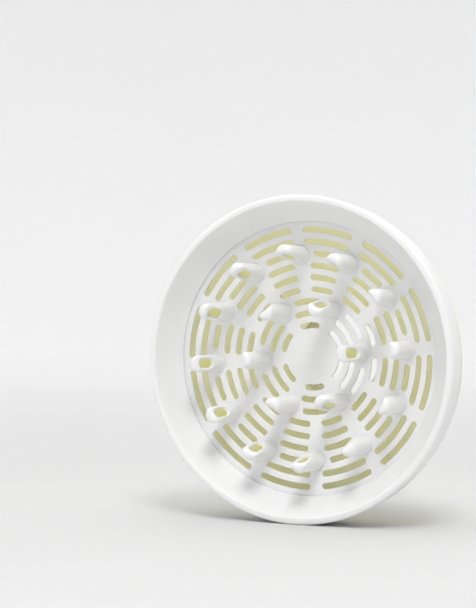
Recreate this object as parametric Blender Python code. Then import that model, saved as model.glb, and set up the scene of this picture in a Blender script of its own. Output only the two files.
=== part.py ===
"""Bowl diffuser for a hair dryer, built as an assembly of separate pieces.

The diffuser's axis is the world Y axis.  The origin is the centre of the socket mouth at the rear
end of the neck, +Y points out of that mouth towards the dryer, and the bowl opens towards -Y.
Profiles are written in millimetres as (radius, depth), where depth is the distance in front of the
socket mouth, and every turned piece is one such closed profile spun round the axis.
"""

import math

import bmesh
import bpy
from mathutils import Matrix, Vector
from mathutils.geometry import delaunay_2d_cdt

MM = 0.001
GAP = 0.3                       # clearance between neighbouring pieces

# Overall form
BOWL_RADIUS = 81.6              # outer edge of the lip
BOWL_DEPTH = 90.0               # socket mouth to the front of the lip
SEAM_RADIUS = 80.9              # rear edge of the bowl's skirt
SEAM_DEPTH = 73.0
SHELL_RADIUS = 80.0             # the rear shell sits a step inside the skirt
WALL = 1.8                      # moulded wall of the bowl
SHELL_WALL = 2.0

# Bowl: flat lip face with a rounded edge on each side, flared wall, and a tongue behind the seam
LIP_FACE_INNER = 78.9
LIP_FACE_OUTER = 80.2
LIP_EDGE = 0.4                  # how far each edge's middle lies from the lip face and the side
LIP_ROUND = 1.8                 # depth over which the outer edge rounds off
FLARE_TOP_RADIUS = 77.6
FLARE_TOP_DROP = 1.7
FLARE_FOOT_RISE = 2.8           # flare's foot, in front of the outermost slots
FLARE_BOW = 0.5                 # outward bow at half height
CHANNEL_APEX_RADIUS = 79.2
CHANNEL_APEX_DROP = 3.6
LEDGE_MARGIN = 0.5              # ledge under the grille, from the edge of the outermost slots
TONGUE_CLEARANCE = 0.5
TONGUE_LENGTH = 3.0
TONGUE_TAPER = 0.4
TONGUE_STEP = 0.6
SKIRT_SLOPE_LENGTH = 3.6

# Slotted grille: a shallow dish, deepest in the middle
GRILLE_RADIUS = 69.2
GRILLE_THICKNESS = 1.5
OUTER_RING_RADIUS = 65.0        # middle of the outermost slots
OUTER_RING_DEPTH = 73.0
DISH_SAG = 8.5
RING_COUNT = 9
RING_PITCH = 6.136
SLOT_WIDTH = 3.1
HUB_DIMPLE_RADIUS = 2.7
HUB_DIMPLE_DEPTH = 0.5
PATTERN_TURN = 4.25             # the moulded pattern's turn about the axis, in degrees

# Slots of each ring, inside to outside: how many, and half of each slot's angle in degrees
SLOT_RINGS = [
    (6, 19.0),
    (6, 20.0),
    (6, 14.5),
    (12, 9.8),
    (12, 10.3),
    (12, 9.7),
    (12, 7.2),
    (12, 12.0),
    (12, 12.2),
]

# Hollow prongs, standing parallel to the axis on two circles; the tube and its bore taper to the tip
OUTER_PRONG_COUNT = 12
OUTER_PRONG_CIRCLE = 52.3
OUTER_PRONG_HEIGHT = 24.5
INNER_PRONG_COUNT = 6
INNER_PRONG_CIRCLE = 27.0
INNER_PRONG_HEIGHT = 26.0
PRONG_FOOT_RADIUS = 4.55
PRONG_TIP_RADIUS = 4.25
PRONG_TIP_ROUND = 1.5
PRONG_BORE_FOOT = 3.6
PRONG_BORE_TIP = 2.8
PRONG_BORE_DOME = 1.2
PRONG_ROOF = 2.6                # plastic left over the bore at the tip
PRONG_FLANGE_RADIUS = 5.2
PRONG_FLANGE_TOP = 1.6
PRONG_SPIGOT_RADIUS = 4.1
PRONG_SPIGOT_REACH = 1.4        # how far the spigot stands out behind the grille

# One side of each prong's tip is cut off at a slant, and the mouth opens through that slanted face
SLANT_LENGTH = 12.5             # height of the slanted face, down from the tip
SLANT_TOP = 0.3                 # where it meets the tip, from the prong's axis towards the mouth
MOUTH_WIDTH = 4.8
MOUTH_LENGTH = 10.6
MOUTH_BELOW_TIP = 7.5           # mouth centre, down from the tip
MOUTH_SINK = 2.6                # how deep the mouth is cut into the slanted face
CUTTER_REACH = 12.0             # cutters run this far clear of the prong

# Neck and dryer socket
SOCKET_RADIUS = 23.4
NECK_RADIUS = 28.0
NECK_BORE = 26.0
NECK_FILLET = 8.0
SHOULDER_RADIUS = 10.0
CONE_ANGLE = 30.0               # rise of the shell's cone, measured from square to the axis
STOP_DEPTH = 24.3               # ledge in the neck that the grip ring and the nozzle stop against
BORE_END_DEPTH = 31.0
COLLAR_RADIUS = 30.0
COLLAR_LENGTH = 9.0
COLLAR_END = 2.0
COLLAR_BORE = 24.4
COLLAR_CHAMFER = 0.7
BORE_FLARE_RADIUS = 1.6         # the socket widens by this much over the next length
BORE_FLARE_LENGTH = 4.5
CONE_BORE_STEP = 3.0            # radius inside the cone's foot, beyond the neck
GRIP_FIN_COUNT = 3
GRIP_SLEEVE_WALL = 0.9
# One fin's corners: whether at the socket's radius, and where along its pitch
GRIP_FIN = [(False, 0.42), (True, 0.22), (True, -0.02), (False, -0.30)]

TURNED_STEPS = 48
NECK_STEPS = 36
PRONG_STEPS = 12

WHITE = ("white_plastic", (0.83, 0.83, 0.82, 1.0), 0.38, 0.0)
CHAMPAGNE = ("champagne_plastic", (0.72, 0.63, 0.42, 1.0), 0.34, 0.25)
SILICONE = ("milky_silicone", (0.74, 0.72, 0.58, 1.0), 0.55, 0.0)


# ---------------------------------------------------------------- scene helpers

def clear_scene():
    for item in list(bpy.data.objects):
        bpy.data.objects.remove(item, do_unlink=True)


def plastic(node, finish):
    name, colour, roughness, metallic = finish
    material = bpy.data.materials.new(node + "_" + name)
    material.use_nodes = True
    shader = material.node_tree.nodes["Principled BSDF"]
    shader.inputs["Base Color"].default_value = colour
    shader.inputs["Roughness"].default_value = roughness
    shader.inputs["Metallic"].default_value = metallic
    material.diffuse_color = colour
    return material


def add_object(node, mesh, finish, parent, matrix=None):
    piece = bpy.data.objects.new(node, mesh)
    bpy.context.scene.collection.objects.link(piece)
    piece.parent = parent
    if matrix is not None:
        piece.matrix_local = matrix
    if not mesh.materials:
        mesh.materials.append(None)
    piece.material_slots[0].link = "OBJECT"
    piece.material_slots[0].material = plastic(node, finish)
    return piece


def finish_mesh(name, work, crease_angle=32.0):
    """Turn a bmesh into a closed, outward-facing, smooth-shaded mesh in metres."""
    bmesh.ops.scale(work, vec=(MM, MM, MM), verts=work.verts)
    bmesh.ops.recalc_face_normals(work, faces=work.faces)
    mesh = bpy.data.meshes.new(name)
    work.to_mesh(mesh)
    work.free()
    mesh.shade_smooth()
    mesh.set_sharp_from_angle(angle=math.radians(crease_angle))
    return mesh


# ---------------------------------------------------------------- profile helpers

def arc(centre, radius, start, end, steps):
    """Points on an arc, from angle start to angle end, in degrees."""
    points = []
    for step in range(steps + 1):
        angle = math.radians(start + (end - start) * step / steps)
        points.append((centre[0] + radius * math.cos(angle), centre[1] + radius * math.sin(angle)))
    return points


def turned_mesh(name, profile, steps):
    """Spin a closed (radius, depth) profile once round the Y axis."""
    work = bmesh.new()
    corners = [work.verts.new((radius, -depth, 0.0)) for radius, depth in profile]
    edges = [work.edges.new((corners[i - 1], corners[i])) for i in range(len(corners))]
    bmesh.ops.spin(
        work,
        geom=corners + edges,
        cent=(0.0, 0.0, 0.0),
        axis=(0.0, 1.0, 0.0),
        angle=math.tau,
        steps=steps,
        use_merge=True,
    )
    return finish_mesh(name, work)


# ---------------------------------------------------------------- front bowl

def bowl_profile():
    """Flared wall, rounded lip and outer skirt; the section is an open-backed channel."""
    wall_foot = GRILLE_RADIUS + GAP
    ledge_bore = OUTER_RING_RADIUS + SLOT_WIDTH / 2 + LEDGE_MARGIN
    ledge_drop = GRILLE_THICKNESS + GAP
    ledge_rear = grille_depth(ledge_bore) - 2 * ledge_drop
    flare_foot = (wall_foot, OUTER_RING_DEPTH + FLARE_FOOT_RISE)
    flare_top = (FLARE_TOP_RADIUS, BOWL_DEPTH - FLARE_TOP_DROP)
    flare_middle = (
        (flare_foot[0] + flare_top[0]) / 2 - FLARE_BOW,
        (flare_foot[1] + flare_top[1]) / 2 + FLARE_BOW / 2,
    )
    tongue_outer = SHELL_RADIUS - SHELL_WALL - TONGUE_CLEARANCE
    tongue_inner = tongue_outer - WALL
    tongue_end = SEAM_DEPTH - TONGUE_LENGTH
    return [
        (ledge_bore, ledge_rear),
        (ledge_bore, grille_depth(ledge_bore) - ledge_drop),
        (wall_foot, grille_depth(GRILLE_RADIUS) - ledge_drop),
        flare_foot,
        flare_middle,
        flare_top,
        (FLARE_TOP_RADIUS + LIP_EDGE, BOWL_DEPTH - LIP_EDGE),
        (LIP_FACE_INNER, BOWL_DEPTH),
        (LIP_FACE_OUTER, BOWL_DEPTH),
        (BOWL_RADIUS - LIP_EDGE, BOWL_DEPTH - LIP_EDGE),
        (BOWL_RADIUS, BOWL_DEPTH - LIP_ROUND),
        (SEAM_RADIUS, SEAM_DEPTH),
        (tongue_outer, SEAM_DEPTH),
        (tongue_outer - TONGUE_TAPER, tongue_end),
        (tongue_inner, tongue_end),
        (tongue_inner, SEAM_DEPTH + TONGUE_STEP),
        (SEAM_RADIUS - WALL, SEAM_DEPTH + SKIRT_SLOPE_LENGTH),
        (CHANNEL_APEX_RADIUS, BOWL_DEPTH - CHANNEL_APEX_DROP),
        (wall_foot + WALL, flare_foot[1] - 1.0),
        (wall_foot + WALL, ledge_rear),
    ]


# ---------------------------------------------------------------- slotted grille

def grille_depth(radius):
    """Depth of the dished grille's front face."""
    return OUTER_RING_DEPTH - DISH_SAG * (1.0 - (radius / OUTER_RING_RADIUS) ** 2)


def polar(radius, degrees):
    angle = math.radians(degrees)
    return (radius * math.cos(angle), radius * math.sin(angle))


def circle_outline(centre, radius, steps):
    return arc(centre, radius, 0.0, 360.0 * (steps - 1) / steps, steps - 1)


def slot_outline(ring_radius, middle, half_angle):
    """A curved slot with pointed-round ends, as a closed outline."""
    half_width = SLOT_WIDTH / 2
    end_angle = math.degrees(half_width / ring_radius)
    body_angle = half_angle - end_angle * 0.75
    steps = max(2, round(ring_radius * math.radians(2 * half_angle) / 9.0))
    centre = (0.0, 0.0)
    outer = arc(centre, ring_radius + half_width, middle - body_angle, middle + body_angle, steps)
    inner = arc(centre, ring_radius - half_width, middle + body_angle, middle - body_angle, steps)
    tip_after = polar(ring_radius, middle + half_angle)
    tip_before = polar(ring_radius, middle - half_angle)
    return outer + [tip_after] + inner + [tip_before]


def grille_holes():
    holes = []
    for ring in range(RING_COUNT):
        count, half_angle = SLOT_RINGS[ring]
        radius = OUTER_RING_RADIUS - RING_PITCH * (RING_COUNT - 1 - ring)
        for index in range(count):
            middle = PATTERN_TURN + 360.0 * (index + 0.5) / count
            holes.append(slot_outline(radius, middle, half_angle))
    for centre in prong_centres(OUTER_PRONG_COUNT, OUTER_PRONG_CIRCLE):
        holes.append(circle_outline(centre, PRONG_SPIGOT_RADIUS + GAP, PRONG_STEPS))
    for centre in prong_centres(INNER_PRONG_COUNT, INNER_PRONG_CIRCLE):
        holes.append(circle_outline(centre, PRONG_SPIGOT_RADIUS + GAP, PRONG_STEPS))
    return holes


def grille_mesh():
    """Triangulate the pierced disc, extrude it, and dish both faces."""
    outlines = [circle_outline((0.0, 0.0), GRILLE_RADIUS, 72)]
    outlines.append(circle_outline((0.0, 0.0), HUB_DIMPLE_RADIUS, 12))
    holes = grille_holes()
    points = []
    edges = []
    for outline in outlines + holes:
        first = len(points)
        count = len(outline)
        points += [Vector(point) for point in outline]
        edges += [(first + i, first + (i + 1) % count) for i in range(count)]
    points.append(Vector((0.0, 0.0)))

    hole_faces = []
    first = sum(len(outline) for outline in outlines)
    for outline in holes:
        hole_faces.append(list(range(first, first + len(outline))))
        first += len(outline)
    verts, _, faces, _, _, face_source = delaunay_2d_cdt(points, edges, hole_faces, 1, 1e-6)

    work = bmesh.new()
    corners = [work.verts.new((point[0], 0.0, point[1])) for point in verts]
    for face, source in zip(faces, face_source):
        if not source:
            work.faces.new([corners[i] for i in face])
    for vert in corners:
        if not vert.link_faces:
            work.verts.remove(vert)
    front = work.faces[:]
    result = bmesh.ops.extrude_face_region(work, geom=front, use_keep_orig=True)
    rear = {item for item in result["geom"] if isinstance(item, bmesh.types.BMVert)}
    for vert in work.verts:
        radius = math.hypot(vert.co.x, vert.co.z)
        depth = grille_depth(radius)
        if radius < HUB_DIMPLE_RADIUS / 2:
            depth -= HUB_DIMPLE_DEPTH
        if vert in rear:
            depth -= GRILLE_THICKNESS
        vert.co.y = -depth
    return finish_mesh("grille", work)


# ---------------------------------------------------------------- hollow prongs

def prong_centres(count, circle):
    return [polar(circle, PATTERN_TURN + 360.0 * index / count) for index in range(count)]


def prong_ring(work, radius, height):
    """A ring of vertices; height is a number, or a function of a vertex's local x and y."""
    ring = []
    for step in range(PRONG_STEPS):
        x, y = polar(radius, 360.0 * step / PRONG_STEPS)
        level = height(x, y) if callable(height) else height
        ring.append(work.verts.new((x, y, level)))
    return ring


def join_rings(work, rings):
    for lower, upper in zip(rings, rings[1:]):
        for i in range(PRONG_STEPS):
            j = (i + 1) % PRONG_STEPS
            work.faces.new((lower[i], lower[j], upper[j], upper[i]))


def cap_ring(work, ring, height):
    tip = work.verts.new((0.0, 0.0, height))
    for i in range(PRONG_STEPS):
        work.faces.new((ring[i], ring[(i + 1) % PRONG_STEPS], tip))


def prong_body(circle, height):
    """Closed-ended tube on a flange that follows the dish; local +Z forward, local +X outward."""
    def seat(x, y):
        rise = grille_depth(math.hypot(circle + x, y)) - grille_depth(circle)
        return rise + GAP

    spigot_end = -GRILLE_THICKNESS - PRONG_SPIGOT_REACH
    work = bmesh.new()
    bore_top = prong_ring(work, PRONG_BORE_TIP, height - PRONG_ROOF - PRONG_BORE_DOME)
    cap_ring(work, bore_top, height - PRONG_ROOF)
    rings = [
        bore_top,
        prong_ring(work, PRONG_BORE_FOOT, spigot_end),
        prong_ring(work, PRONG_SPIGOT_RADIUS, spigot_end),
        prong_ring(work, PRONG_SPIGOT_RADIUS, seat),
        prong_ring(work, PRONG_FLANGE_RADIUS, seat),
        prong_ring(work, PRONG_FLANGE_RADIUS - 0.2, PRONG_FLANGE_TOP),
        prong_ring(work, PRONG_FOOT_RADIUS, PRONG_FLANGE_TOP + 0.8),
        prong_ring(work, PRONG_TIP_RADIUS, height - PRONG_TIP_ROUND),
        prong_ring(work, PRONG_TIP_RADIUS - PRONG_TIP_ROUND, height - PRONG_TIP_ROUND / 5),
    ]
    join_rings(work, rings)
    cap_ring(work, rings[-1], height)
    return finish_mesh("prong_body", work)


def slanted_face(height):
    """The slanted face: a point at its lower end, its direction up the slope, and its normal."""
    foot = Vector((-PRONG_TIP_RADIUS, 0.0, height - SLANT_LENGTH))
    top = Vector((-SLANT_TOP, 0.0, height))
    slope = (top - foot).normalized()
    return foot, slope, Vector((-slope.z, 0.0, slope.x))


def prism_mesh(name, outline, push):
    """A flat outline of points, extruded by a vector."""
    work = bmesh.new()
    face = work.faces.new([work.verts.new(point) for point in outline])
    result = bmesh.ops.extrude_face_region(work, geom=[face], use_keep_orig=True)
    lifted = [item for item in result["geom"] if isinstance(item, bmesh.types.BMVert)]
    bmesh.ops.translate(work, verts=lifted, vec=push)
    return finish_mesh(name, work)


def slant_cutter(height):
    """Block that takes the slanted side off the tip."""
    foot, slope, normal = slanted_face(height)
    side = Vector((0.0, CUTTER_REACH / 2, 0.0))
    low = foot - slope * CUTTER_REACH / 2
    high = foot + slope * (SLANT_LENGTH + CUTTER_REACH)
    return prism_mesh("slant_cutter", [low - side, high - side, high + side, low + side], normal * CUTTER_REACH)


def mouth_cutter(height):
    """Long rounded prism that opens the bore, square to the slanted face."""
    foot, slope, normal = slanted_face(height)
    centre = foot + slope * (SLANT_LENGTH - MOUTH_BELOW_TIP) / slope.z - normal * MOUTH_SINK
    half = MOUTH_WIDTH / 2
    straight = MOUTH_LENGTH / 2 - half
    across = Vector((0.0, 1.0, 0.0))
    outline = arc((0.0, straight), half, 0.0, 180.0, 4) + arc((0.0, -straight), half, 180.0, 360.0, 4)
    points = [centre + across * x + slope * y for x, y in outline]
    return prism_mesh("mouth_cutter", points, normal * CUTTER_REACH)


def prong_mesh(name, circle, height):
    """The prong with its tip slanted and its mouth cut, as one mesh to be shared by its circle."""
    body = bpy.data.objects.new("prong_body", prong_body(circle, height))
    bpy.context.scene.collection.objects.link(body)
    cutters = []
    for cutter_mesh in (slant_cutter(height), mouth_cutter(height)):
        cutter = bpy.data.objects.new(cutter_mesh.name, cutter_mesh)
        bpy.context.scene.collection.objects.link(cutter)
        cutters.append(cutter)
        cut = body.modifiers.new(cutter_mesh.name, "BOOLEAN")
        cut.operation = "DIFFERENCE"
        cut.solver = "EXACT"
        cut.object = cutter
    evaluated = body.evaluated_get(bpy.context.evaluated_depsgraph_get())
    mesh = bpy.data.meshes.new_from_object(evaluated)
    mesh.name = name
    mesh.materials.clear()
    for item in [body] + cutters:
        bpy.data.objects.remove(item, do_unlink=True)
    return mesh


def add_prongs(prefix, count, circle, height, faces_inward, parent):
    """Stand one prong at each place on a circle, its mouth facing in or out."""
    radial_offset = circle if faces_inward else -circle
    mesh = prong_mesh(prefix, radial_offset, height)
    forward = Matrix.Rotation(math.radians(90.0), 4, "X")
    for index in range(count):
        angle = PATTERN_TURN + 360.0 * index / count
        x, z = polar(circle, angle)
        place = Matrix.Translation((x * MM, -grille_depth(circle) * MM, z * MM))
        facing = angle if faces_inward else angle + 180.0
        swing = Matrix.Rotation(math.radians(facing), 4, "Z")
        node = "%s_%02d" % (prefix, index + 1)
        add_object(node, mesh, WHITE, parent, place @ forward @ swing)


# ---------------------------------------------------------------- rear shell and neck

def shell_profile():
    """Neck tube, fillet, cone and rounded shoulder, with an even wall and a stop in the neck."""
    shoulder = (SHELL_RADIUS - SHOULDER_RADIUS, SEAM_DEPTH - GAP)
    cone_normal = CONE_ANGLE - 90.0
    rise = math.radians(CONE_ANGLE)
    cone_end = arc(shoulder, SHOULDER_RADIUS, cone_normal, 0.0, 1)[0]
    fillet_end_radius = NECK_RADIUS + NECK_FILLET * (1.0 - math.sin(rise))
    fillet_end_depth = cone_end[1] - (cone_end[0] - fillet_end_radius) * math.tan(rise)
    fillet = (NECK_RADIUS + NECK_FILLET, fillet_end_depth - NECK_FILLET * math.cos(rise))
    inner_cone_radius = NECK_RADIUS + CONE_BORE_STEP
    inner_cone_depth = (
        fillet_end_depth
        + (inner_cone_radius - fillet_end_radius) * math.tan(rise)
        + SHELL_WALL / math.cos(rise)
    )
    neck_end = COLLAR_END + GAP
    outside = [(NECK_RADIUS, neck_end)]
    outside += arc(fillet, NECK_FILLET, 180.0, 90.0 + CONE_ANGLE, 3)
    outside += arc(shoulder, SHOULDER_RADIUS, cone_normal, 0.0, 4)
    inside = arc(shoulder, SHOULDER_RADIUS - SHELL_WALL, 0.0, cone_normal, 4)
    inside += [
        (inner_cone_radius, inner_cone_depth),
        (SOCKET_RADIUS + BORE_FLARE_RADIUS, BORE_END_DEPTH + BORE_FLARE_LENGTH),
        (SOCKET_RADIUS, BORE_END_DEPTH),
        (SOCKET_RADIUS, STOP_DEPTH),
        (NECK_BORE, STOP_DEPTH),
        (NECK_BORE, neck_end),
    ]
    return outside + inside


def collar_profile():
    """End collar: a cap ring over the end of the neck that keeps the grip ring in."""
    sleeve_bore = NECK_RADIUS + GAP
    return [
        (COLLAR_BORE, COLLAR_CHAMFER),
        (COLLAR_BORE + COLLAR_CHAMFER, 0.0),
        (COLLAR_RADIUS - COLLAR_CHAMFER, 0.0),
        (COLLAR_RADIUS, COLLAR_CHAMFER),
        (COLLAR_RADIUS, COLLAR_LENGTH - COLLAR_CHAMFER),
        (COLLAR_RADIUS - COLLAR_CHAMFER, COLLAR_LENGTH),
        (sleeve_bore, COLLAR_LENGTH),
        (sleeve_bore, COLLAR_END),
        (COLLAR_BORE, COLLAR_END),
    ]


def grip_profile():
    """Silicone sleeve in the neck with fins that hold the dryer's nozzle."""
    outer = NECK_BORE - GAP
    sleeve = outer - GRIP_SLEEVE_WALL
    rear = COLLAR_END + GAP
    front = STOP_DEPTH - GAP
    pitch = (front - rear) / GRIP_FIN_COUNT
    points = [(outer, rear), (outer, front)]
    for index in reversed(range(GRIP_FIN_COUNT)):
        middle = rear + pitch * (index + 0.5)
        for at_socket, place in GRIP_FIN:
            points.append((SOCKET_RADIUS if at_socket else sleeve, middle + pitch * place))
    points[2] = (sleeve, front)
    points[-1] = (sleeve, rear)
    return points


# ---------------------------------------------------------------- assembly

def build():
    clear_scene()
    axis = bpy.data.objects.new("diffuser_axis", None)
    bpy.context.scene.collection.objects.link(axis)

    add_object("front_bowl", turned_mesh("front_bowl", bowl_profile(), TURNED_STEPS), WHITE, axis)
    add_object("grille", grille_mesh(), WHITE, axis)
    add_prongs("outer_prong", OUTER_PRONG_COUNT, OUTER_PRONG_CIRCLE, OUTER_PRONG_HEIGHT, True, axis)
    add_prongs("inner_prong", INNER_PRONG_COUNT, INNER_PRONG_CIRCLE, INNER_PRONG_HEIGHT, False, axis)
    add_object("rear_shell", turned_mesh("rear_shell", shell_profile(), TURNED_STEPS), CHAMPAGNE, axis)
    add_object("neck_collar", turned_mesh("neck_collar", collar_profile(), NECK_STEPS), CHAMPAGNE, axis)
    add_object("grip_ring", turned_mesh("grip_ring", grip_profile(), NECK_STEPS), SILICONE, axis)
    bpy.context.view_layer.update()


build()
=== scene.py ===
"""Looks of a bowl diffuser for a hair dryer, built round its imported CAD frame.

The diffuser's axis is the world Y axis: the bowl opens towards -Y and the socket mouth is at the
origin.  Outlines are worked out in millimetres as (radius, depth), where depth is the distance in
front of the socket mouth, and the diffuser's meshes are turned into metres when they are made.
"""

import math

import bmesh
import bpy
from mathutils import Matrix, Vector
from mathutils.geometry import delaunay_2d_cdt


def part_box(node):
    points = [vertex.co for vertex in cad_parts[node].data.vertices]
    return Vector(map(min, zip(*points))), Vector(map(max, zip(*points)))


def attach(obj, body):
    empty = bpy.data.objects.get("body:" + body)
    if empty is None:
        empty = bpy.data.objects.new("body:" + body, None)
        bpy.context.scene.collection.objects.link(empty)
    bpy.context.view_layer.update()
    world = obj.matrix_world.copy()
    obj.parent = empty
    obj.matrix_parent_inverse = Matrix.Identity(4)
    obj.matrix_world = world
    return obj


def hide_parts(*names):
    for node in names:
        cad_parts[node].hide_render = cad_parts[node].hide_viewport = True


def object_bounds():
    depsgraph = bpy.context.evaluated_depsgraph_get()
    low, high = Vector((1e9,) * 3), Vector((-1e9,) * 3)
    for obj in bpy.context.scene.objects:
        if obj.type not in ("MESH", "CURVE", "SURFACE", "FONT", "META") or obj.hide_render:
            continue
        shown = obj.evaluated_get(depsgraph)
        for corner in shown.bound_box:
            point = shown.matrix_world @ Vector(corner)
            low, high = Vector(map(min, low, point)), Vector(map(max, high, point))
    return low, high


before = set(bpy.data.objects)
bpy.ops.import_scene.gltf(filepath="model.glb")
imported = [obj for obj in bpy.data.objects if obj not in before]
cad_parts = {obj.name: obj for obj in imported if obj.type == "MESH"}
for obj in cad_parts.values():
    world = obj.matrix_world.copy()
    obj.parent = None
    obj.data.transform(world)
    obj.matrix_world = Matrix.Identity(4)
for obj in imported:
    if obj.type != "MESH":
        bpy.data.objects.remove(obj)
cad_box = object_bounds()

MM = 0.001
BODY = "root"
SHARP_ANGLE = math.radians(50.0)


def cad_span(node):
    """A CAD node's outer radius, rear depth and front depth, in millimetres."""
    low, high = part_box(node)
    return high.x / MM, -high.y / MM, -low.y / MM


BOWL_RADIUS, TONGUE_END, BOWL_DEPTH = cad_span("front_bowl")
GRILLE_RADIUS = cad_span("grille")[0]
SHELL_RADIUS, NECK_END, SEAM_DEPTH = cad_span("rear_shell")
COLLAR_RADIUS, _, COLLAR_LENGTH = cad_span("neck_collar")
GRIP_RADIUS, GRIP_REAR, GRIP_FRONT = cad_span("grip_ring")

# Slotted grille
GRILLE_THICKNESS = 1.5
OUTER_RING_RADIUS = 65.0
OUTER_RING_DEPTH = 73.0
DISH_SAG = 8.5
RING_PITCH = 6.136
SLOT_HALF_WIDTH = 1.52
SLOT_STEP = 1.6                 # length of the straight pieces along a slot
SLOT_ROUND = 0.4                # rounding of the slots' front edges
REAR_CHAMFER = 0.15
EDGE_ROUND = 0.06               # the plate's own outer edge, at the front
EDGE_CHAMFER = 0.2              # and at the rear
PATTERN_TURN = 4.25             # degrees
DIMPLE_RADIUS = 2.9
DIMPLE_DEPTH = 0.9
DIMPLE_SIDE = 0.45              # share of the dimple's radius that slopes
DIMPLE_NUB = 0.8                # radius of the moulding mark in the dimple
NUB_RISE = 0.8                  # its height, as a share of the dimple's depth
# Circles of mesh points: close together round the dimple, then out over the hub, and one at the edge
HUB_CIRCLES = (0.3, 0.6, 0.9, 1.3, 1.7, 2.1, 2.5, 2.9, 3.6, 6.0, 9.0, 12.0)
LAST_CIRCLE = 67.9
# Slots of each ring, inside to outside: how many, and half of each slot's angle in degrees
SLOT_RINGS = [
    (6, 19.0),
    (6, 20.0),
    (6, 14.5),
    (12, 9.8),
    (12, 10.3),
    (12, 9.7),
    (12, 7.2),
    (12, 12.0),
    (12, 12.2),
]

# Hollow prongs: one side of the tip is cut off at a slant, and the mouth lies in that face
OUTER_PRONG_COUNT = 12
OUTER_PRONG_CIRCLE = 52.3
OUTER_PRONG_HEIGHT = 24.5
INNER_PRONG_COUNT = 6
INNER_PRONG_CIRCLE = 27.0
INNER_PRONG_HEIGHT = 26.0
PRONG_SIDES = 48
CAST_REACH = 20.0               # longer than any way out of the prong from inside it
FOOT_RADIUS = 4.5
TIP_RADIUS = 4.2
TIP_ROUND = 2.2
FLANGE_RADIUS = 5.15
FLANGE_GAP = 0.005
FLANGE_EDGE = 0.03
FILLET_TOP = 2.4
SPIGOT_RADIUS = 4.0
SPIGOT_REACH = 1.3
SPIGOT_LEAD = 0.15              # chamfer of the spigot's end
SPIGOT_CLEARANCE = 0.15
BORE_RADIUS = 3.65
BORE_TOP_RADIUS = 3.5
BORE_TOP_HEIGHT = 7.0
FAN_BELOW_LIP = 0.6             # start of the fan of lines that finds the tip's surface
THROAT_PULL = 1.6               # how far the duct keeps its direction at the throat
SLANT_LENGTH = 12.5             # height of the slanted face, down from the tip
SLANT_TOP = 0.3                 # where it meets the tip, from the prong's axis towards the mouth
SLANT_ROUND = 0.9
MOUTH_BELOW_TIP = 7.4           # middle of the mouth, down from the tip
MOUTH_SINK = 2.4
MOUTH_HALF_WIDTH = 2.35
MOUTH_HALF_LENGTH = 5.2
# Section of the mouth's soft lip, from outside in: offset from the opening, and rise
MOUTH_LIP = [
    (1.25, 0.0), (1.05, 0.05), (0.85, 0.06), (0.65, 0.0), (0.45, -0.14),
    (0.28, -0.36), (0.14, -0.66), (0.04, -1.05), (0.0, -1.5),
]
BOUNCE_PAINT_LOW = 9.0                  # painted bounce light: the shell's yellow light fills the bore up to this level, and the bore is plain white from here on
BOUNCE_PAINT_HIGH = 17.0                # and is white from here on
# Colour of the painted bounce light and painted glow in the prongs' bores
BORE_PAINTED_BOUNCE_COLOUR = (0.92, 0.91, 0.62, 1.0)
BORE_PAINTED_GLOW = 0.13                # painted glow: the bore's plastic gives off light in the shell's colour, though it is no lamp
# Vertex layer that holds each point's share of the painted bounce light and glow
PAINTED_BOUNCE_LAYER = "painted_shell_bounce"

SKIRT_RADIUS = 80.9             # rear edge of the bowl's skirt
NECK_RADIUS = 28.0
SOCKET_RADIUS = 26.0            # seat of the grip ring inside the neck
STOP_RADIUS = 24.3              # ledge in front of the grip ring
FIT_GAP = 0.3
TURNED_STEPS = 192
GRILLE_EDGE_STEPS = 240


# ---------------------------------------------------------------- mesh helpers

def polar(radius, angle):
    """A point at a radius and an angle from the origin."""
    return (radius * math.cos(angle), radius * math.sin(angle))


def smooth_step(t):
    """Ease from 0 to 1, and stay there on either side."""
    t = max(0.0, min(1.0, t))
    return t * t * (3.0 - 2.0 * t)


def smooth_max(a, b, reach):
    """The larger of two values, rounded off where they are within reach of each other."""
    near = max(reach - abs(a - b), 0.0)
    return max(a, b) + near * near / (4.0 * reach)


def arc(centre, radius, start, end, steps):
    """Points on an arc from angle start to angle end, in radians."""
    points = []
    for step in range(steps + 1):
        x, y = polar(radius, start + (end - start) * step / steps)
        points.append((centre[0] + x, centre[1] + y))
    return points


def rounded(corners, steps):
    """A closed outline from (radius, depth, rounding) corners, each rounded off by a short curve."""
    almost_straight = math.radians(178.0)
    share_of_side = 0.48
    outline = []
    count = len(corners)
    for i, (x, y, radius) in enumerate(corners):
        here = Vector((x, y))
        back = Vector(corners[i - 1][:2]) - here
        on = Vector(corners[(i + 1) % count][:2]) - here
        turn = back.angle(on)
        if radius <= 0.0 or turn > almost_straight:
            outline.append((x, y))
            continue
        reach = min(radius / math.tan(turn / 2), back.length * share_of_side, on.length * share_of_side)
        start = here + back.normalized() * reach
        end = here + on.normalized() * reach
        for step in range(steps + 1):
            t = step / steps
            point = start * (1 - t) ** 2 + here * 2 * t * (1 - t) + end * t ** 2
            outline.append((point.x, point.y))
    return outline


def finish_mesh(name, work):
    """Turn a bmesh in millimetres into a mesh in metres, with its faces turned outwards."""
    bmesh.ops.scale(work, vec=(MM, MM, MM), verts=work.verts)
    bmesh.ops.recalc_face_normals(work, faces=work.faces)
    mesh = bpy.data.meshes.new(name)
    work.to_mesh(mesh)
    work.free()
    return mesh


def place_object(name, mesh, matrix=None):
    """Add a smooth-shaded object to the scene."""
    mesh.shade_smooth()
    mesh.set_sharp_from_angle(angle=SHARP_ANGLE)
    piece = bpy.data.objects.new(name, mesh)
    bpy.context.scene.collection.objects.link(piece)
    if matrix is not None:
        piece.matrix_world = matrix
    return piece


def weight_normals(piece):
    """Keep flat and gently curved faces clean where they meet small roundings."""
    clean = piece.modifiers.new("clean_shading", "WEIGHTED_NORMAL")
    clean.keep_sharp = True
    clean.weight = 60


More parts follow.
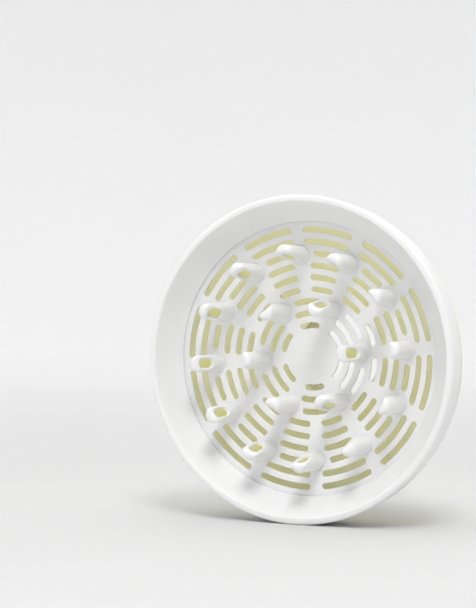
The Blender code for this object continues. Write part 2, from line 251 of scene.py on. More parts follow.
def bridge(work, rings):
    """Quads between loops of equal length."""
    for upper, lower in zip(rings, rings[1:]):
        count = len(upper)
        for i in range(count):
            j = (i + 1) % count
            work.faces.new((upper[i], upper[j], lower[j], lower[i]))


def turned(name, profile, steps=TURNED_STEPS, reshape=None):
    """A closed (radius, depth) profile turned round the Y axis.

    Where the profile isn't the same all round, reshape gives its radius at an angle.
    """
    work = bmesh.new()
    rings = []
    for step in range(steps):
        angle = math.tau * step / steps
        ring = []
        for radius, depth in profile:
            if reshape:
                radius = reshape(radius, angle)
            x, z = polar(radius, angle)
            ring.append(work.verts.new((x, -depth, z)))
        rings.append(ring)
    count = len(profile)
    for step in range(steps):
        here, beyond = rings[step], rings[(step + 1) % steps]
        for i in range(count):
            j = (i + 1) % count
            work.faces.new((here[i], here[j], beyond[j], beyond[i]))
    piece = place_object(name, finish_mesh(name, work))
    weight_normals(piece)
    return piece


def keep(piece, material, slot, *nodes):
    """Give a piece its material, and let it stand for its CAD nodes."""
    piece.data.materials.clear()
    piece.data.materials.append(material)
    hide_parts(*nodes)
    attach(piece, BODY)


# ---------------------------------------------------------------- slotted grille

def grille_depth(radius):
    """Depth of the grille's front face: a shallow dish with a dimple in the middle."""
    depth = OUTER_RING_DEPTH - DISH_SAG * (1.0 - (radius / OUTER_RING_RADIUS) ** 2)
    if radius < DIMPLE_RADIUS:
        depth -= DIMPLE_DEPTH * smooth_step((DIMPLE_RADIUS - radius) / (DIMPLE_RADIUS * DIMPLE_SIDE))
        depth += DIMPLE_DEPTH * NUB_RISE * smooth_step(1.0 - radius / DIMPLE_NUB)
    return depth


def slot_loop(ring_radius, middle, half_angle, half_width):
    """Outline of a curved slot with round ends; the ends keep their centres at any width."""
    reach = half_angle - SLOT_HALF_WIDTH / ring_radius
    arc_steps = max(4, round(ring_radius * 2 * reach / SLOT_STEP))
    cap_steps = 8
    origin = (0.0, 0.0)
    start, end = middle - reach, middle + reach
    start_cap = arc(polar(ring_radius, start), half_width, start + math.pi, start + math.tau, cap_steps)
    end_cap = arc(polar(ring_radius, end), half_width, end, end + math.pi, cap_steps)
    loop = arc(origin, ring_radius + half_width, start, end, arc_steps)
    loop += end_cap[1:-1]
    loop += arc(origin, ring_radius - half_width, end, start, arc_steps)
    loop += start_cap[1:-1]
    return loop


def slot_ring_radius(ring):
    """Radius of a ring of slots, counted from the inside, at the slots' middle line."""
    return OUTER_RING_RADIUS - RING_PITCH * (len(SLOT_RINGS) - 1 - ring)


def circle_loop(centre, radius, steps):
    """Points round a circle."""
    return arc(centre, radius, 0.0, math.tau * (steps - 1) / steps, steps - 1)


def prong_angles(count):
    """Where a ring's prongs stand, in radians."""
    return [math.radians(PATTERN_TURN) + math.tau * index / count for index in range(count)]


def hole_makers():
    """One function for each hole, giving the hole's outline grown by an offset."""
    makers = []
    for ring, (count, half_angle) in enumerate(SLOT_RINGS):
        for index in range(count):
            middle = math.radians(PATTERN_TURN) + math.tau * (index + 0.5) / count
            makers.append(slot_maker(slot_ring_radius(ring), middle, math.radians(half_angle)))
    circles = [(OUTER_PRONG_COUNT, OUTER_PRONG_CIRCLE), (INNER_PRONG_COUNT, INNER_PRONG_CIRCLE)]
    for count, circle in circles:
        makers += [spigot_hole_maker(polar(circle, angle)) for angle in prong_angles(count)]
    return makers


def slot_maker(radius, middle, half_angle):
    """A function that gives one slot's outline grown by an offset."""
    return lambda grow: slot_loop(radius, middle, half_angle, SLOT_HALF_WIDTH + grow)


def spigot_hole_maker(centre):
    """The same for a prong's hole; the flange hides its edge, so it grows only a little."""
    steps = 32
    return lambda grow: circle_loop(centre, SPIGOT_RADIUS + SPIGOT_CLEARANCE + grow / 3, steps)


def inner_points():
    """Points between the slots that let the plate follow its dish."""
    middle = (0.0, 0.0)
    edge_margin = 1.5
    points = [middle]
    for ring in range(len(SLOT_RINGS)):
        radius = slot_ring_radius(ring) + RING_PITCH / 2
        count = 24 * max(1, round(radius / 12.0))
        if radius < GRILLE_RADIUS - edge_margin:
            points += [polar(radius, math.tau * (i + 0.5) / count) for i in range(count)]
    for radius in HUB_CIRCLES:
        points += circle_loop(middle, radius, 24 if radius < 5.0 else 36)
    points += circle_loop(middle, LAST_CIRCLE, 160)
    return points


def plate_face(outline, holes, extra):
    """Triangulate a pierced disc; returns its points, its triangles, and each loop's point numbers."""
    points = []
    edges = []
    loops = []
    for loop in [outline] + holes:
        first = len(points)
        count = len(loop)
        points += [Vector(point) for point in loop]
        edges += [(first + i, first + (i + 1) % count) for i in range(count)]
        loops.append(list(range(first, first + count)))
    points += [Vector(point) for point in extra if not inside_any(point, holes)]
    result = delaunay_2d_cdt(points, edges, loops[1:], 1, 1e-7)
    verts, _, faces, vert_source, _, face_source = result
    moved = {}
    for index, sources in enumerate(vert_source):
        for source in sources:
            moved[source] = index
    # A triangle with a source lies in one of the holes' loops, so it is left out
    kept = [face for face, source in zip(faces, face_source) if not source]
    return verts, kept, [[moved[i] for i in loop] for loop in loops]


def inside_any(point, holes, margin=0.55):
    """True where a point lies inside a hole, or so near one that it would make a sliver."""
    for hole in holes:
        if any(math.hypot(point[0] - x, point[1] - y) < margin for x, y in hole):
            return True
    return False


def slot_wall_rings(work, maker, front_ring, lift):
    """Loops of a hole's rounded front edge, its wall and its chamfered rear edge."""
    rings = [front_ring]
    for step in range(1, 5):
        turn = math.pi / 8 * step
        outline = maker(SLOT_ROUND * (1.0 - math.sin(turn)))
        rings.append([work.verts.new(lift(x, z, SLOT_ROUND * (1.0 - math.cos(turn)))) for x, z in outline])
    rings.append([work.verts.new(lift(x, z, GRILLE_THICKNESS - REAR_CHAMFER)) for x, z in maker(0.0)])
    rings.append([work.verts.new(lift(x, z, GRILLE_THICKNESS)) for x, z in maker(REAR_CHAMFER)])
    return rings


def build_grille(material):
    """Pierced dish with a front, a rear, the walls of its holes and an outer edge."""
    makers = hole_makers()
    front_holes = [maker(SLOT_ROUND) for maker in makers]
    front_edge = circle_loop((0.0, 0.0), GRILLE_RADIUS - EDGE_ROUND, GRILLE_EDGE_STEPS)
    verts, faces, loops = plate_face(front_edge, front_holes, inner_points())

    work = bmesh.new()

    def lift(x, z, below):
        return (x, below - grille_depth(math.hypot(x, z)), z)

    front = [work.verts.new(lift(p.x, p.y, 0.0)) for p in verts]
    for face in faces:
        work.faces.new([front[i] for i in face])
    for maker, loop in zip(makers, loops[1:]):
        bridge(work, slot_wall_rings(work, maker, [front[i] for i in loop], lift))
    # Section of the outer edge, front to rear: radius, and distance below the front
    edge = [
        (GRILLE_RADIUS, 0.05),
        (GRILLE_RADIUS, GRILLE_THICKNESS - EDGE_CHAMFER),
        (GRILLE_RADIUS - EDGE_CHAMFER, GRILLE_THICKNESS),
    ]
    rings = [[front[i] for i in loops[0]]]
    for radius, drop in edge:
        circle = circle_loop((0.0, 0.0), radius, GRILLE_EDGE_STEPS)
        rings.append([work.verts.new(lift(x, z, drop)) for x, z in circle])
    bridge(work, rings)

    rear_holes = [maker(REAR_CHAMFER) for maker in makers]
    rear_edge = circle_loop((0.0, 0.0), GRILLE_RADIUS - EDGE_CHAMFER, GRILLE_EDGE_STEPS)
    rear_verts, rear_faces, _ = plate_face(rear_edge, rear_holes, inner_points())
    rear = [work.verts.new(lift(p.x, p.y, GRILLE_THICKNESS)) for p in rear_verts]
    for face in rear_faces:
        work.faces.new([rear[i] for i in reversed(face)])
    for vert in [v for v in work.verts if not v.link_faces]:
        work.verts.remove(vert)
    bmesh.ops.remove_doubles(work, verts=work.verts, dist=0.0005)
    piece = place_object("grille_plate", finish_mesh("grille_plate", work))
    weight_normals(piece)
    keep(piece, material, "white_plastic", "grille")


# ---------------------------------------------------------------- hollow prongs

def slanted_face(height):
    """The slanted face: a point at its lower end, its direction up the slope, and its normal."""
    foot = Vector((-TIP_RADIUS, 0.0, height - SLANT_LENGTH))
    top = Vector((-SLANT_TOP, 0.0, height))
    slope = (top - foot).normalized()
    return foot, slope, Vector((-slope.z, 0.0, slope.x))


def solve(test, low, high):
    """Where a test stops being true between low and high."""
    for _ in range(40):
        middle = (low + high) / 2
        if test(middle):
            low = middle
        else:
            high = middle
    return (low + high) / 2


def outside_hood(height):
    """A function that is below zero inside the prong: a round tube less its slanted side."""
    foot, _, normal = slanted_face(height)

    def measure(point):
        tube_radius = FOOT_RADIUS + (TIP_RADIUS - FOOT_RADIUS) * point.z / height
        tube = math.hypot(point.x, point.y) - tube_radius
        tip = smooth_max(tube, point.z - height, TIP_ROUND)
        return smooth_max(tip, (point - foot).dot(normal), SLANT_ROUND)

    return measure


def mouth_loop(grow):
    """Long round outline of the mouth in its own plane, as (along, across), from its top end round."""
    half_width = MOUTH_HALF_WIDTH + grow
    straight = MOUTH_HALF_LENGTH - MOUTH_HALF_WIDTH
    length = 4 * straight + math.tau * half_width
    points = []
    for i in range(PRONG_SIDES):
        s = length * i / PRONG_SIDES
        quarter = half_width * math.pi / 2
        mirror = 1.0
        if s > length / 2:
            s = length - s
            mirror = -1.0
        if s < quarter:
            along, across = polar(half_width, s / half_width)
            along += straight
        elif s < quarter + 2 * straight:
            along, across = straight - (s - quarter), half_width
        else:
            along, across = polar(half_width, (s - 2 * straight) / half_width)
            along -= straight
        points.append((along, across * mirror))
    return points


def prong_turns():
    return [math.tau * i / PRONG_SIDES for i in range(PRONG_SIDES)]


def level_ring(radius, level):
    """A ring round the prong's axis; level is its height, or a function of place that gives it."""
    made = []
    for turn in prong_turns():
        x, y = polar(radius, turn)
        made.append(Vector((x, y, level(x, y) if callable(level) else level)))
    return made


def cast(measure, start, direction):
    """Where a line from inside the prong reaches its surface."""
    return start + direction * solve(lambda far: measure(start + direction * far) < 0.0, 0.0, CAST_REACH)


def foot_rings(seat):
    """Spigot, flange and fillet; seat(x, y, lift) is a height above the grille's dish."""
    spigot_end = -GRILLE_THICKNESS - SPIGOT_REACH
    rings = [
        level_ring(BORE_RADIUS, spigot_end),
        level_ring(SPIGOT_RADIUS - SPIGOT_LEAD, spigot_end),
        level_ring(SPIGOT_RADIUS, spigot_end + 2 * SPIGOT_LEAD),
        level_ring(SPIGOT_RADIUS, lambda x, y: seat(x, y, FLANGE_GAP)),
        level_ring(FLANGE_RADIUS - 0.1, lambda x, y: seat(x, y, FLANGE_GAP)),
        level_ring(FLANGE_RADIUS, lambda x, y: seat(x, y, FLANGE_EDGE)),
    ]
    low_radius, low_rise = FLANGE_RADIUS - 0.05, FLANGE_EDGE + 0.02
    top_radius = FOOT_RADIUS - 0.02
    steps = 6
    for step in range(steps + 1):
        t = step / steps
        radius = low_radius + (top_radius - low_radius) * (1.0 - (1.0 - t) ** 2)
        rise = low_rise + (FILLET_TOP - low_rise) * t ** 2
        rings.append(level_ring(radius, lambda x, y: seat(x, y, 0.0) * (1.0 - t) + rise))
    return rings


def lip_rings(measure, centre, slope, normal):
    """The mouth's outline on the prong's surface, once for each point of the lip's section."""
    rings = []
    for grow, rise in MOUTH_LIP:
        made = []
        for along, across in mouth_loop(grow):
            start = centre + slope * along + Vector((0.0, across, 0.0))
            made.append(cast(measure, start, normal) + normal * rise)
        rings.append(made)
    return rings


def hood_rings(measure, lip):
    """The tube's wall up to the mouth, then over the tip and down to the lip, as a fan of lines."""
    focus = Vector((0.0, 0.0, min(point.z for point in lip) - FAN_BELOW_LIP))
    outward = [Vector((*polar(1.0, turn), 0.0)) for turn in prong_turns()]
    rings = []
    tube_rows = 5
    for row in range(1, tube_rows + 1):
        start = Vector((0.0, 0.0, FILLET_TOP + (focus.z - FILLET_TOP) * row / (tube_rows + 1)))
        rings.append([cast(measure, start, level) for level in outward])
    fan_rows = 26
    for row in range(fan_rows):
        made = []
        for level, goal in zip(outward, lip):
            towards = level.slerp((goal - focus).normalized(), row / fan_rows)
            made.append(cast(measure, focus, towards))
        rings.append(made)
    return rings


def duct_rings(throat, normal):
    """A duct that bends down from the mouth's throat into the bore."""
    bore = level_ring(BORE_TOP_RADIUS, BORE_TOP_HEIGHT)
    rings = []
    steps = 12
    for step in range(1, steps + 1):
        t = step / steps
        made = []
        for start, end in zip(throat, bore):
            far = (start - end).length
            p1 = start - normal * min(THROAT_PULL, far * 0.3)
            p2 = end + Vector((0.0, 0.0, far * 0.55))
            made.append(start * (1 - t) ** 3 + p1 * 3 * t * (1 - t) ** 2
                        + p2 * 3 * t ** 2 * (1 - t) + end * t ** 3)
        rings.append(made)
    return rings


def build_prong_mesh(name, circle, side, height):
    """Hooded tube: local +Z is forward, local -X is the side that the mouth faces.

    The diffuser's axis is on that side when side is 1, and on the far side when it is -1.
    """
    foot, slope, normal = slanted_face(height)
    centre = foot + slope * (SLANT_LENGTH - MOUTH_BELOW_TIP) / slope.z - normal * MOUTH_SINK
    measure = outside_hood(height)

    def seat(x, y, lift):
        return grille_depth(math.hypot(circle + x * side, y)) - grille_depth(circle) + lift

    lips = lip_rings(measure, centre, slope, normal)
    duct = duct_rings(lips[-1], normal)
    rings = foot_rings(seat) + hood_rings(measure, lips[0]) + lips + duct

    work = bmesh.new()
    # Painted bounce light: mark how much of the shell's yellow light and glow each point deep in the bore is
    # painted with
    bounce_paint = work.verts.layers.float.new(PAINTED_BOUNCE_LAYER)
    loops = [[work.verts.new(point) for point in made] for made in rings]
    inside = loops[-len(duct) - 2:] + loops[:1]
    for loop in inside:
        for vert in loop:
            vert[bounce_paint] = 1.0 - smooth_step((vert.co.z - BOUNCE_PAINT_LOW) / (BOUNCE_PAINT_HIGH - BOUNCE_PAINT_LOW))
    bridge(work, loops + [loops[0]])
    return finish_mesh(name, work)


def build_prongs(prefix, count, circle, height, faces_inward, material):
    """A ring of prongs that share one mesh."""
    mesh = build_prong_mesh(prefix, circle, 1.0 if faces_inward else -1.0, height)
    mesh.materials.append(material)
    forward = Matrix.Rotation(math.radians(90.0), 4, "X")
    for index, angle in enumerate(prong_angles(count)):
        x, z = polar(circle, angle)
        place = Matrix.Translation((x * MM, -grille_depth(circle) * MM, z * MM))
        swing = Matrix.Rotation(angle if faces_inward else angle + math.pi, 4, "Z")
        number = "%02d" % (index + 1)
        piece = place_object(prefix + "_hood_" + number, mesh, place @ forward @ swing)
        weight_normals(piece)
        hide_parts(prefix + "_" + number)
        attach(piece, BODY)


# ---------------------------------------------------------------- bowl, shell and neck

def build_bowl(material):
    """Ledge under the grille, flared wall, lip, skirt, and the tongue that goes into the shell."""
    foot = GRILLE_RADIUS + 0.02
    wall = 2.0
    ledge_bore = OUTER_RING_RADIUS + 2.05
    ledge_drop = GRILLE_THICKNESS + 0.05
    ledge_rear = grille_depth(ledge_bore) - 2 * ledge_drop
    flare_foot = Vector((foot, OUTER_RING_DEPTH + 2.4))
    flare_top = Vector((78.3, BOWL_DEPTH - 0.5))
    chord = flare_top - flare_foot
    bulge = Vector((chord.y, -chord.x)).normalized() * 0.7
    corners = [
        (ledge_bore, ledge_rear, 0.2),
        (ledge_bore, grille_depth(ledge_bore) - ledge_drop, 0.2),
        (foot, grille_depth(GRILLE_RADIUS) - ledge_drop, 0.1),
        (flare_foot.x, flare_foot.y, 0.8),
    ]
    for step in range(1, 12):
        t = step / 12
        p = flare_foot + chord * t + bulge * 4 * t * (1 - t)
        corners.append((p.x, p.y, 0.0))
    seam = SEAM_DEPTH + FIT_GAP
    tongue = SHELL_RADIUS - 2.5
    tongue_wall = 1.8
    corners += [
        (flare_top.x, BOWL_DEPTH, 1.3),
        (BOWL_RADIUS, BOWL_DEPTH, 1.7),
        (BOWL_RADIUS, BOWL_DEPTH - 3.0, 0.0),
        (SKIRT_RADIUS, seam, 0.35),
        (tongue, seam, 0.2),
        (tongue - 0.4, TONGUE_END, 0.4),
        (tongue - tongue_wall, TONGUE_END, 0.4),
        (tongue - tongue_wall, seam + 0.6, 0.5),
        (SKIRT_RADIUS - tongue_wall, seam + 3.6, 0.5),
        (79.3, BOWL_DEPTH - 3.8, 0.3),
        (foot + wall, flare_foot.y - 1.6, 0.5),
        (foot + wall, ledge_rear, 0.3),
    ]
    piece = turned("bowl_rim", rounded(corners, 6))
    keep(piece, material, "white_plastic", "front_bowl")


def shell_corners():
    """Neck tube, cone and shoulder outside, and the wall's inside with the ledge in the neck."""
    slope = math.radians(30.0)
    rise = math.tan(slope)
    wall = 2.0
    shoulder_round = 10.0
    inner_round = shoulder_round - wall
    throat = 31.0
    drop = math.tan((math.pi / 2 - slope) / 2)
    shoulder_depth = SEAM_DEPTH - shoulder_round * drop
    neck_depth = shoulder_depth - (SHELL_RADIUS - NECK_RADIUS) * rise
    inner = SHELL_RADIUS - wall
    inner_shoulder = SEAM_DEPTH - inner_round * drop
    cone_inside = inner_shoulder - (inner - throat) * rise
    return [
        (NECK_RADIUS, NECK_END, 0.3),
        (NECK_RADIUS, neck_depth, 8.0),
        (SHELL_RADIUS, shoulder_depth, shoulder_round),
        (SHELL_RADIUS, SEAM_DEPTH, 0.35),
        (inner, SEAM_DEPTH, 0.3),
        (inner, inner_shoulder, inner_round),
        (throat, cone_inside, 4.0),
        (STOP_RADIUS + 2.1, 36.0, 3.0),
        (STOP_RADIUS, 31.0, 1.5),
        (STOP_RADIUS, GRIP_FRONT + FIT_GAP, 0.4),
        (SOCKET_RADIUS, GRIP_FRONT + FIT_GAP, 0.1),
        (SOCKET_RADIUS, NECK_END, 0.3),
    ]


def build_shell(material):
    """Rear shell with its neck."""
    piece = turned("shell_back", rounded(shell_corners(), 14))
    keep(piece, material, "champagne_plastic", "rear_shell")


def build_collar(material):
    """End ring: a turned-in face over the neck's end, and a band round the neck."""
    mouth = 24.4
    band_bore = NECK_RADIUS + 0.15
    face = 2.0
    corners = [
        (mouth, 0.0, 0.9),
        (COLLAR_RADIUS, 0.0, 1.2),
        (COLLAR_RADIUS, COLLAR_LENGTH, 0.7),
        (band_bore, COLLAR_LENGTH, 0.25),
        (band_bore, face, 0.2),
        (mouth, face, 0.3),
    ]
    piece = turned("collar_ring", rounded(corners, 6))
    keep(piece, material, "champagne_plastic", "neck_collar")


def build_grip(material):
    """Silicone sleeve whose fins are cut into short flaps."""
    sleeve = GRIP_RADIUS - 0.9
    fin = 23.4
    fins = 3
    flap_count = 16
    cut_from, cut_over = 0.86, 0.06
    pitch = (GRIP_FRONT - GRIP_REAR) / fins
    corners = [(GRIP_RADIUS, GRIP_REAR, 0.2), (GRIP_RADIUS, GRIP_FRONT, 0.2), (sleeve, GRIP_FRONT, 0.3)]
    for index in reversed(range(fins)):
        middle = GRIP_REAR + pitch * (index + 0.5)
        corners += [
            (sleeve, middle + pitch * 0.38, 0.5),
            (fin, middle + pitch * 0.18, 0.3),
            (fin, middle, 0.3),
            (sleeve, middle - pitch * 0.28, 0.6),
        ]
    corners.append((sleeve, GRIP_REAR, 0.3))
    root = sleeve - 0.2

    def flaps(radius, angle):
        if radius > root:
            return radius
        beat = abs((angle / math.tau * flap_count) % 1.0 - 0.5) * 2
        notch = max(0.0, min(1.0, (beat - cut_from) / cut_over))
        return radius + (root - radius) * notch

    piece = turned("grip_sleeve", rounded(corners, 4), 2 * TURNED_STEPS, flaps)
    keep(piece, material, "milky_silicone", "grip_ring")


# ---------------------------------------------------------------- materials

def new_material(name):
    """A material, its nodes, its links and its main shader."""
    material = bpy.data.materials.new(name)
    material.use_nodes = True
    tree = material.node_tree
    return material, tree.nodes, tree.links, tree.nodes["Principled BSDF"]


def add_noise(nodes, links, coordinates, scale, detail, roughness=0.5):
    """A noise texture's value; a scale of 1000 gives spots about a millimetre across."""
    noise = nodes.new("ShaderNodeTexNoise")
    noise.inputs["Scale"].default_value = scale
    noise.inputs["Detail"].default_value = detail
    noise.inputs["Roughness"].default_value = roughness
    links.new(coordinates, noise.inputs["Vector"])
    return noise.outputs["Fac"]


def add_ramp(nodes, links, source, low, high, stops=(0.35, 0.65)):
    """Map a value onto a range of colours, between two stops."""
    ramp = nodes.new("ShaderNodeValToRGB")
    ramp.color_ramp.elements[0].position = stops[0]
    ramp.color_ramp.elements[1].position = stops[1]
    ramp.color_ramp.elements[0].color = low
    ramp.color_ramp.elements[1].color = high
    links.new(source, ramp.inputs["Fac"])
    return ramp.outputs["Color"]


def grey(value):
    """A grey as a colour socket takes it."""
    return (value, value, value, 1.0)


def add_range(nodes, links, source, low, high):
    """Map the middle of a noise's values onto a range."""
    spread = nodes.new("ShaderNodeMapRange")
    spread.inputs["From Min"].default_value = 0.3
    spread.inputs["From Max"].default_value = 0.7
    spread.inputs["To Min"].default_value = low
    spread.inputs["To Max"].default_value = high
    links.new(source, spread.inputs["Value"])
    return spread.outputs["Result"]


def add_bump(nodes, links, shader, layers):
    """Chain bumps, each a (height source, strength, distance in metres)."""
    normal = None
    for source, strength, distance in layers:
        bump = nodes.new("ShaderNodeBump")
        bump.inputs["Strength"].default_value = strength
        bump.inputs["Distance"].default_value = distance
        links.new(source, bump.inputs["Height"])
        if normal is not None:
            links.new(normal, bump.inputs["Normal"])
        normal = bump.outputs["Normal"]
    links.new(normal, shader.inputs["Normal"])


def edge_wear(nodes, links, base, worn):
    """Lighten exposed edges a little, as handling polishes them."""
    geometry = nodes.new("ShaderNodeNewGeometry")
    ramp = nodes.new("ShaderNodeValToRGB")
    ramp.color_ramp.elements[0].position = 0.52
    ramp.color_ramp.elements[1].position = 0.60
    links.new(geometry.outputs["Pointiness"], ramp.inputs["Fac"])
    mix = nodes.new("ShaderNodeMix")
    mix.data_type = "RGBA"
    links.new(ramp.outputs["Color"], mix.inputs["Factor"])
    links.new(base, mix.inputs["A"])
    mix.inputs["B"].default_value = worn
    return mix.outputs["Result"]


def painted_shell_bounce(nodes, links, shader, base):
    """Deep in the prongs' bores, paint the shell's yellow bounce light into the white plastic, and a glow in
    that colour.
    """
    inside = nodes.new("ShaderNodeAttribute")
    inside.attribute_name = PAINTED_BOUNCE_LAYER
    mix = nodes.new("ShaderNodeMix")
    mix.data_type = "RGBA"
    links.new(inside.outputs["Fac"], mix.inputs["Factor"])
    links.new(base, mix.inputs["A"])
    mix.inputs["B"].default_value = BORE_PAINTED_BOUNCE_COLOUR
    # Painted glow: emission in the shell's colour where the bounce light is painted
    painted_glow = nodes.new("ShaderNodeMath")
    painted_glow.operation = "MULTIPLY"
    painted_glow.inputs[1].default_value = BORE_PAINTED_GLOW
    links.new(inside.outputs["Fac"], painted_glow.inputs[0])
    links.new(painted_glow.outputs["Value"], shader.inputs["Emission Strength"])
    shader.inputs["Emission Color"].default_value = BORE_PAINTED_BOUNCE_COLOUR
    return mix.outputs["Result"]


def let_light_through(nodes, links, shader, tone, share):
    """Mix in a share of translucence, for a thin moulded wall."""
    through = nodes.new("ShaderNodeBsdfTranslucent")
    links.new(tone, through.inputs["Color"])
    mix = nodes.new("ShaderNodeMixShader")
    mix.inputs["Fac"].default_value = share
    links.new(shader.outputs["BSDF"], mix.inputs[1])
    links.new(through.outputs["BSDF"], mix.inputs[2])
    links.new(mix.outputs["Shader"], nodes["Material Output"].inputs["Surface"])


def white_plastic(name, subsurface):
    """Satin white: slow colour flow, a haze in its gloss, and a fine moulded grain."""
    material, nodes, links, shader = new_material(name)
    place = nodes.new("ShaderNodeTexCoord").outputs["Object"]
    flow = add_noise(nodes, links, place, scale=28.0, detail=2.0)
    grain = add_noise(nodes, links, place, scale=2600.0, detail=2.0, roughness=0.6)
    haze = add_noise(nodes, links, place, scale=160.0, detail=4.0, roughness=0.6)
    tone = add_ramp(nodes, links, flow, (0.915, 0.915, 0.916, 1.0), (0.935, 0.935, 0.936, 1.0))
    worn = edge_wear(nodes, links, tone, grey(0.95))
    # Painted bounce light and glow from the shell, deep in the prongs' bores
    links.new(painted_shell_bounce(nodes, links, shader, worn), shader.inputs["Base Color"])
    links.new(add_range(nodes, links, haze, low=0.30, high=0.42), shader.inputs["Roughness"])
    shader.inputs["IOR"].default_value = 1.49
    shader.inputs["Subsurface Weight"].default_value = subsurface
    shader.inputs["Subsurface Radius"].default_value = (1.0, 0.98, 0.94)
    shader.inputs["Subsurface Scale"].default_value = 0.003
    add_bump(nodes, links, shader, [(haze, 0.06, 0.0003), (grain, 0.10, 0.00004)])
    return material


def champagne_plastic():
    """Pearly pale yellow that lets a good deal of light through."""
    material, nodes, links, shader = new_material("champagne_pearl_plastic")
    place = nodes.new("ShaderNodeTexCoord").outputs["Object"]
    flow = add_noise(nodes, links, place, scale=22.0, detail=3.0)
    haze = add_noise(nodes, links, place, scale=220.0, detail=4.0, roughness=0.6)
    grain = add_noise(nodes, links, place, scale=3200.0, detail=2.0, roughness=0.6)
    tone = add_ramp(nodes, links, flow, (0.955, 0.945, 0.73, 1.0), (0.975, 0.965, 0.78, 1.0))
    links.new(edge_wear(nodes, links, tone, (0.95, 0.94, 0.78, 1.0)), shader.inputs["Base Color"])
    links.new(add_range(nodes, links, haze, low=0.28, high=0.42), shader.inputs["Roughness"])
    shader.inputs["IOR"].default_value = 1.5
    shader.inputs["Subsurface Weight"].default_value = 0.5
    shader.inputs["Subsurface Radius"].default_value = (1.0, 0.98, 0.75)
    shader.inputs["Subsurface Scale"].default_value = 0.002
    add_bump(nodes, links, shader, [(haze, 0.05, 0.0003), (grain, 0.14, 0.00004)])
    let_light_through(nodes, links, shader, tone, share=0.6)
    return material


def milky_silicone():
    """Matt and soft, with a deeper grain."""
    material, nodes, links, shader = new_material("matte_silicone")
    place = nodes.new("ShaderNodeTexCoord").outputs["Object"]
    haze = add_noise(nodes, links, place, scale=300.0, detail=5.0, roughness=0.7)
    grain = add_noise(nodes, links, place, scale=4000.0, detail=2.0, roughness=0.6)
    tone = add_ramp(nodes, links, haze, (0.84, 0.82, 0.62, 1.0), (0.90, 0.88, 0.68, 1.0))
    links.new(edge_wear(nodes, links, tone, (0.90, 0.89, 0.74, 1.0)), shader.inputs["Base Color"])
    links.new(add_range(nodes, links, haze, low=0.52, high=0.72), shader.inputs["Roughness"])
    shader.inputs["Sheen Weight"].default_value = 0.25
    shader.inputs["Sheen Roughness"].default_value = 0.5
    add_bump(nodes, links, shader, [(haze, 0.12, 0.0002), (grain, 0.25, 0.00005)])
    return material


# ---------------------------------------------------------------- studio

FLOOR_SHADE = 0.675
WALL_SHADE = 0.915
FLOOR_END = 0.3                 # distance from the object where the floor's shade starts to change,
WALL_START = 1.9                # and where it is the wall's
FRONT_RIGHT_PAINTED_SHADE = 0.54            # painted shade: the paper greys towards the front of the studio, to the right
AWAY_FROM_PAINTED_SHADE = (-0.64, 0.77, 0.0)
PAINTED_SHADE_REACH = (-2.2, -0.7)    # full at the first distance this way, and gone at the second
STAGE_RADIUS = 2.6
SWEEP_RADIUS = 1.0
STAGE_TOP = 3.4


def stage_profile():
    """Half of the stage's section, as (distance, height): floor, sweep and wall."""
    profile = [(0.6, 0.0), (1.3, 0.0)]
    for step in range(13):
        out, up = polar(SWEEP_RADIUS, math.pi / 2 * step / 12 - math.pi / 2)
        profile.append((STAGE_RADIUS - SWEEP_RADIUS + out, SWEEP_RADIUS + up))
    profile.append((STAGE_RADIUS, STAGE_TOP))
    return profile


def build_stage(floor_height):
    """A pale floor that sweeps up all round into the backdrop."""
    work = bmesh.new()
    steps = 96
    rings = []
    for distance, height in stage_profile():
        circle = circle_loop((0.0, 0.0), distance, steps)
        rings.append([work.verts.new((x, y, height + floor_height)) for x, y in circle])
    work.faces.new(rings[0])
    bridge(work, rings[::-1])
    mesh = bpy.data.meshes.new("studio_sweep")
    work.to_mesh(mesh)
    work.free()
    mesh.shade_smooth()
    mesh.materials.append(pale_paper())
    stage = bpy.data.objects.new("studio_sweep", mesh)
    bpy.context.scene.collection.objects.link(stage)


def pale_paper():
    """Paper that grows paler from the floor to the wall, and greys with painted shade towards the front
    right.
    """
    material, nodes, links, shader = new_material("pale_paper")
    place = nodes.new("ShaderNodeTexCoord").outputs["Object"]
    distance = nodes.new("ShaderNodeVectorMath")
    distance.operation = "LENGTH"
    links.new(place, distance.inputs[0])
    spread = nodes.new("ShaderNodeMapRange")
    spread.inputs["From Min"].default_value = FLOOR_END
    spread.inputs["From Max"].default_value = WALL_START
    links.new(distance.outputs["Value"], spread.inputs["Value"])
    shade = add_ramp(nodes, links, spread.outputs["Result"], grey(FLOOR_SHADE), grey(WALL_SHADE), (0.0, 1.0))
    # Painted shade: grey the paper towards the front right of the studio
    away = nodes.new("ShaderNodeVectorMath")
    away.operation = "DOT_PRODUCT"
    away.inputs[1].default_value = AWAY_FROM_PAINTED_SHADE
    links.new(place, away.inputs[0])
    painted_shade = nodes.new("ShaderNodeMapRange")
    painted_shade.inputs["From Min"].default_value = PAINTED_SHADE_REACH[0]
    painted_shade.inputs["From Max"].default_value = PAINTED_SHADE_REACH[1]
    painted_shade.inputs["To Min"].default_value = FRONT_RIGHT_PAINTED_SHADE
    painted_shade.inputs["To Max"].default_value = 1.0
    links.new(away.outputs["Value"], painted_shade.inputs["Value"])
    dimmed = nodes.new("ShaderNodeMix")
    dimmed.data_type = "RGBA"
    dimmed.blend_type = "MULTIPLY"
    dimmed.inputs["Factor"].default_value = 1.0
    links.new(shade, dimmed.inputs["A"])
    links.new(painted_shade.outputs["Result"], dimmed.inputs["B"])
    links.new(dimmed.outputs["Result"], shader.inputs["Base Color"])
    shader.inputs["Roughness"].default_value = 0.85
    shader.inputs["Specular IOR Level"].default_value = 0.2
    return material


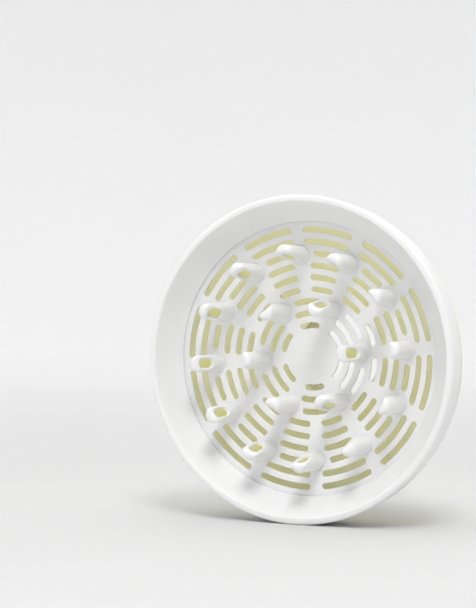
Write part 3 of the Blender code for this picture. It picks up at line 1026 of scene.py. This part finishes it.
def add_softbox(name, location, target, size, power):
    """A white rectangular lamp that faces its target."""
    light = bpy.data.lights.new(name, "AREA")
    light.shape = "RECTANGLE"
    light.size, light.size_y = size
    light.energy = power
    lamp = bpy.data.objects.new(name, light)
    bpy.context.scene.collection.objects.link(lamp)
    lamp.location = location
    aim = Vector(target) - Vector(location)
    lamp.rotation_euler = aim.to_track_quat("-Z", "Y").to_euler()


def build_lights():
    """A key lamp high above the camera, a broad one overhead, and an even white surround."""
    middle = (0.0, -0.06, 0.0)
    add_softbox("key_softbox", (0.45, -0.95, 1.25), middle, size=(0.5, 0.5), power=9.5)
    add_softbox("overhead_softbox", (0.0, -0.1, 2.0), middle, size=(1.6, 1.3), power=4.0)
    world = bpy.data.worlds.new("studio_world")
    world.use_nodes = True
    background = world.node_tree.nodes["Background"]
    background.inputs["Color"].default_value = (1.0, 1.0, 1.0, 1.0)
    background.inputs["Strength"].default_value = 1.25
    bpy.context.scene.world = world


CAMERA_PLACE = (0.27451, -0.7601, 0.01588)
CAMERA_RIGHT = (0.9012666, 0.4332567, 0.0026734)
CAMERA_UP = (0.0527544, -0.1158607, 0.9918635)
CAMERA_LENS = 84.74             # millimetres, on a sensor 36 mm wide
CAMERA_SHIFT = (0.0496, -0.2675)


def build_camera():
    """From the front right, a little above the diffuser's axis."""
    right = Vector(CAMERA_RIGHT)
    up = Vector(CAMERA_UP)
    data = bpy.data.cameras.new("camera")
    data.lens = CAMERA_LENS
    data.sensor_width = 36.0
    data.shift_x, data.shift_y = CAMERA_SHIFT
    camera = bpy.data.objects.new("camera", data)
    bpy.context.scene.collection.objects.link(camera)
    turn = Matrix((right, up, right.cross(up))).transposed()
    camera.matrix_world = Matrix.Translation(CAMERA_PLACE) @ turn.to_4x4()
    bpy.context.scene.camera = camera
    bpy.context.scene.view_settings.view_transform = "Standard"


# ---------------------------------------------------------------- the diffuser and its studio

white = white_plastic("white_moulded_plastic", subsurface=0.25)
prong_white = white_plastic("white_prong_plastic", subsurface=0.1)
champagne = champagne_plastic()
silicone = milky_silicone()
build_bowl(white)
build_grille(white)
build_prongs("outer_prong", OUTER_PRONG_COUNT, OUTER_PRONG_CIRCLE, OUTER_PRONG_HEIGHT,
             faces_inward=True, material=prong_white)
build_prongs("inner_prong", INNER_PRONG_COUNT, INNER_PRONG_CIRCLE, INNER_PRONG_HEIGHT,
             faces_inward=False, material=prong_white)
build_shell(champagne)
build_collar(champagne)
build_grip(silicone)
build_stage(cad_box[0].z)
build_lights()
build_camera()
